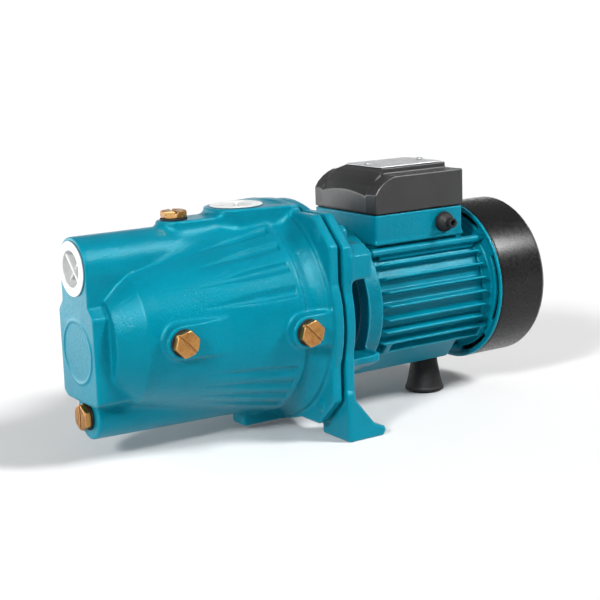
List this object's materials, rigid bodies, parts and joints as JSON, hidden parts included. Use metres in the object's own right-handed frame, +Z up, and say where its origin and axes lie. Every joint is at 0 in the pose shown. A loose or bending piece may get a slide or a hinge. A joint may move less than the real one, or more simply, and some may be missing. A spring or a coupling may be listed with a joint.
{
  "type": "shallow well jet pump",
  "caption": "Cast jet pump casing with front suction port and top discharge port, brass plugs, a lantern bracket with feet, and a finned motor with terminal box and fan cover.",
  "frame": {"origin": "centre of the underside of the rubber foot under the motor, on the floor", "axes": "+X along the shaft from the suction port to the fan cover, +Y to the side without the cable gland, +Z up"},
  "size_m": [0.4556, 0.2029, 0.2276],
  "materials": {
    "cast_paint": "glossy teal paint over a sand-cast surface",
    "black_plastic": "satin black moulded plastic",
    "white_plastic": "white moulded plastic",
    "brass": "turned brass, slightly dull",
    "rubber": "matte black rubber",
    "zinc_steel": "zinc plated steel",
    "steel": "ground steel",
    "laminations": "stacked electrical steel sheets",
    "copper": "varnished copper wire",
    "noryl": "glass-filled dark plastic",
    "ceramic": "lapped ceramic",
    "carbon": "carbon graphite",
    "aluminium": "brushed aluminium"
  },
  "bodies": {
    "pump": {"pump_casing": "cast_paint", "nozzle": "brass", "venturi_tube": "noryl", "diffuser": "noryl", "seal_seat": "ceramic", "casing_gasket": "rubber", "motor_bracket": "cast_paint", "casing_bolt_1": "zinc_steel", "casing_bolt_2": "zinc_steel", "casing_bolt_3": "zinc_steel", "casing_bolt_4": "zinc_steel", "front_bearing_outer_race": "steel", "rear_bearing_outer_race": "steel", "wave_washer": "steel", "stator_core": "laminations", "winding_front": "copper", "winding_rear": "copper", "motor_housing": "cast_paint", "rear_end_shield": "cast_paint", "tie_bolt_1": "zinc_steel", "tie_bolt_2": "zinc_steel", "tie_bolt_3": "zinc_steel", "tie_bolt_4": "zinc_steel", "fan_cover": "black_plastic", "terminal_box_lid": "black_plastic", "lid_gasket": "rubber", "nameplate": "aluminium", "lid_screw_1": "zinc_steel", "lid_screw_2": "zinc_steel", "capacitor": "aluminium", "terminal_board": "noryl", "cable_gland": "rubber", "rubber_foot": "rubber", "foot_stud": "zinc_steel"},
    "rotor": {"shaft": "steel", "rotor_core": "laminations", "impeller": "brass", "impeller_nut": "brass", "impeller_key": "steel", "seal_head": "carbon", "seal_spring": "steel", "slinger": "rubber", "front_bearing_inner_race": "steel", "rear_bearing_inner_race": "steel", "cooling_fan": "black_plastic"},
    "filling_plug": {"filling_plug": "brass", "filling_plug_washer": "rubber"},
    "drain_plug": {"drain_plug": "brass", "drain_plug_washer": "rubber"},
    "side_plug_front": {"side_plug_front": "brass", "side_plug_front_washer": "rubber"},
    "side_plug_rear": {"side_plug_rear": "brass", "side_plug_rear_washer": "rubber"},
    "suction_port_plug": {"suction_port_plug": "white_plastic"},
    "discharge_port_plug": {"discharge_port_plug": "white_plastic"}
  },
  "joints": [
    {"name": "rotor_spin", "type": "hinge", "parent": "pump", "child": "rotor", "pos_m": [0, 0, 0.1048], "axis": [1, 0, 0], "continuous": true},
    {"name": "filling_plug_out", "type": "slide", "parent": "pump", "child": "filling_plug", "axis": [0, 0, 1], "range_m": [0, 0.03]},
    {"name": "drain_plug_out", "type": "slide", "parent": "pump", "child": "drain_plug", "axis": [-1, 0, 0], "range_m": [0, 0.03]},
    {"name": "side_plug_front_out", "type": "slide", "parent": "pump", "child": "side_plug_front", "axis": [0, -1, 0], "range_m": [0, 0.03]},
    {"name": "side_plug_rear_out", "type": "slide", "parent": "pump", "child": "side_plug_rear", "axis": [0, -1, 0], "range_m": [0, 0.03]},
    {"name": "suction_port_plug_out", "type": "slide", "parent": "pump", "child": "suction_port_plug", "axis": [-1, 0, 0], "range_m": [0, 0.03]},
    {"name": "discharge_port_plug_out", "type": "slide", "parent": "pump", "child": "discharge_port_plug", "axis": [0, 0, 1], "range_m": [0, 0.03]}
  ]
}
